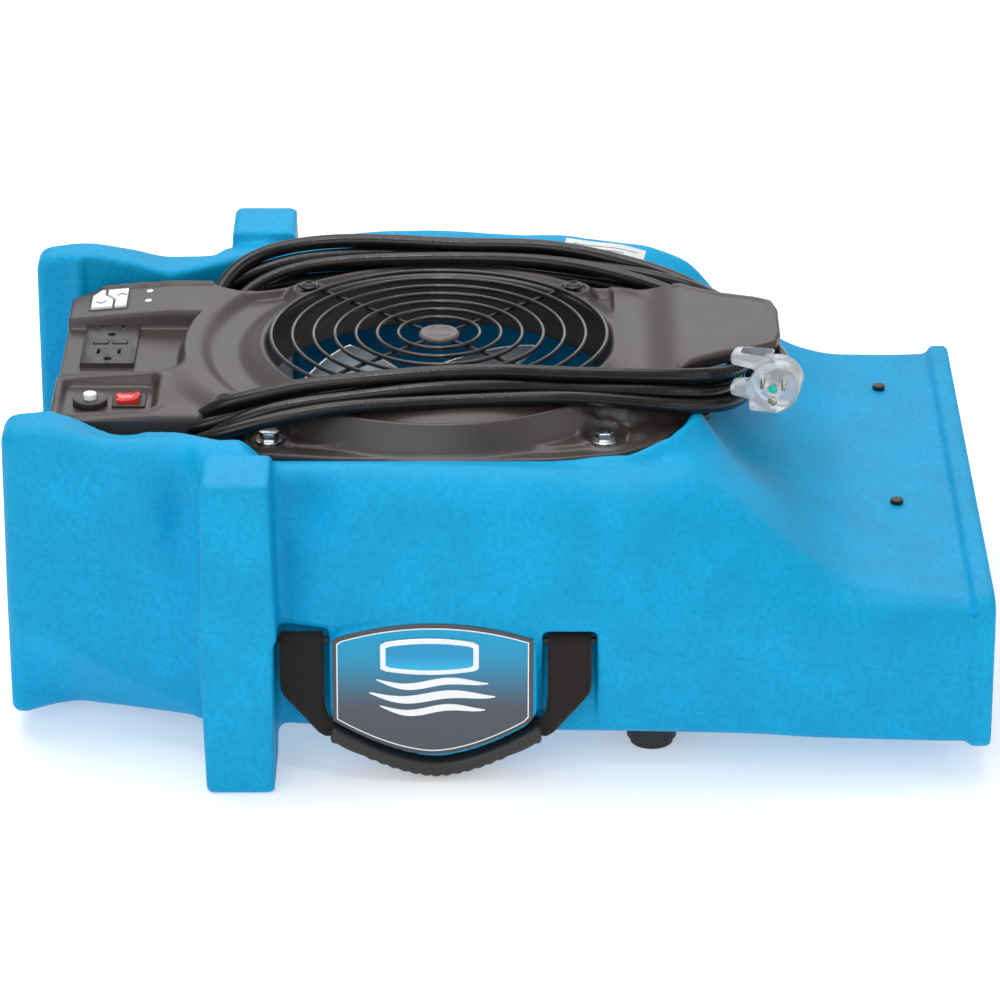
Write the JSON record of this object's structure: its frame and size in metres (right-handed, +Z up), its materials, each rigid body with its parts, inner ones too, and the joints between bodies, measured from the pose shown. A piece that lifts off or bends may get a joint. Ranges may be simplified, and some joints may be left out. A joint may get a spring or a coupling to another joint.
{
  "type": "air mover",
  "caption": "Low-profile stackable floor air mover: moulded housing, top axial fan inlet with ring guard, wide low outlet, control end, wound cord and carry handle.",
  "frame": {"origin": "centre of the footprint on the floor", "axes": "+X towards the air outlet, +Z up"},
  "size_m": [0.586, 0.442, 0.2256],
  "materials": {
    "housing_blue": "roto-moulded polyethylene, fine grain",
    "foot_rubber": "moulded rubber",
    "zinc_steel": "zinc-plated",
    "cover_black": "satin injection-moulded",
    "guard_black": "black powder coat over wire",
    "black_steel": "black oxide",
    "bracket_steel": "galvanised sheet",
    "motor_paint": "grey paint",
    "bright_steel": "ground steel",
    "core_steel": "stacked laminations",
    "copper": "varnished copper winding",
    "fan_aluminium": "pressed sheet with bright edges",
    "cable_jacket": "smooth black jacket",
    "tray_black": "moulded",
    "board_green": "solder mask",
    "capacitor_can": "drawn can",
    "socket_black": "fine satin",
    "key_white": "printed membrane",
    "button_white": "smooth",
    "rocker_red": "translucent red",
    "badge_print": "printed gradient, blank",
    "emblem_blue": "blank raised panel, silver rim",
    "webbing": "herringbone webbing",
    "grip_rubber": "scalloped grip",
    "tag_white": "blank flag label",
    "plug_clear": "clear moulded vinyl",
    "brass_blades": "plated blades",
    "plug_green": "indicator lamp"
  },
  "bodies": {
    "chassis": {"housing": "housing_blue", "rubber_feet": "foot_rubber", "foot_screws": "zinc_steel", "inlet_cover": "cover_black", "cover_bolts": "zinc_steel", "cover_washers": "zinc_steel", "inlet_guard": "guard_black", "guard_screws": "black_steel", "motor_bracket": "bracket_steel", "motor_screws": "zinc_steel", "motor_can": "motor_paint", "motor_end_cap": "motor_paint", "motor_bearings": "bright_steel", "stator_core": "core_steel", "stator_windings": "copper", "motor_lead": "cable_jacket", "electronics_tray": "tray_black", "control_board": "board_green", "run_capacitor": "capacitor_can", "socket_body": "socket_black", "socket_screws": "zinc_steel", "keypad_frame": "socket_black", "indicator_lenses": "key_white", "breaker_body": "socket_black", "rocker_frame": "socket_black", "badge_plate": "badge_print", "badge_emblem": "emblem_blue", "handle_pins": "bright_steel", "outlet_guard": "guard_black", "outlet_screws": "black_steel", "cord_gland": "tray_black", "power_cord": "cable_jacket", "cord_tag": "tag_white", "plug_body": "plug_clear", "plug_blades": "brass_blades", "plug_clip": "plug_clear", "plug_light": "plug_green"},
    "fan_rotor": {"rotor_core": "core_steel", "motor_shaft": "bright_steel", "impeller_hub": "fan_aluminium", "impeller_blades": "fan_aluminium", "impeller_nut": "zinc_steel"},
    "test_key": {"test_button": "socket_black"},
    "reset_key": {"reset_button": "socket_black"},
    "speed_up_key": {"key_up": "key_white"},
    "speed_down_key": {"key_down": "key_white"},
    "breaker_key": {"breaker_button": "button_white"},
    "rocker": {"rocker_switch": "rocker_red"},
    "handle": {"handle_straps": "webbing", "handle_grip": "grip_rubber"}
  },
  "joints": [
    {"name": "fan_spin", "type": "hinge", "parent": "chassis", "child": "fan_rotor", "pos_m": [-0.036, 0, 0.1], "axis": [0, 0, 1], "continuous": true},
    {"name": "handle_swing", "type": "hinge", "parent": "chassis", "child": "handle", "pos_m": [-0.036, -0.196, 0.09], "axis": [-1, 0, 0], "range_deg": [0, 90]},
    {"name": "rocker_tilt", "type": "hinge", "parent": "chassis", "child": "rocker", "pos_m": [-0.225, -0.078, 0.189], "axis": [0, 1, 0], "range_deg": [0, 14]},
    {"name": "breaker_reset", "type": "slide", "parent": "chassis", "child": "breaker_key", "axis": [0, 0, -1], "range_m": [0, 0.002], "stiffness_N_per_m": 600},
    {"name": "test_press", "type": "slide", "parent": "chassis", "child": "test_key", "axis": [0, 0, -1], "range_m": [0, 0.0006], "stiffness_N_per_m": 800},
    {"name": "reset_press", "type": "slide", "parent": "chassis", "child": "reset_key", "axis": [0, 0, -1], "range_m": [0, 0.0006], "stiffness_N_per_m": 800},
    {"name": "speed_up_press", "type": "slide", "parent": "chassis", "child": "speed_up_key", "axis": [0, 0, -1], "range_m": [0, 0.0006], "stiffness_N_per_m": 500},
    {"name": "speed_down_press", "type": "slide", "parent": "chassis", "child": "speed_down_key", "axis": [0, 0, -1], "range_m": [0, 0.0006], "stiffness_N_per_m": 500}
  ]
}
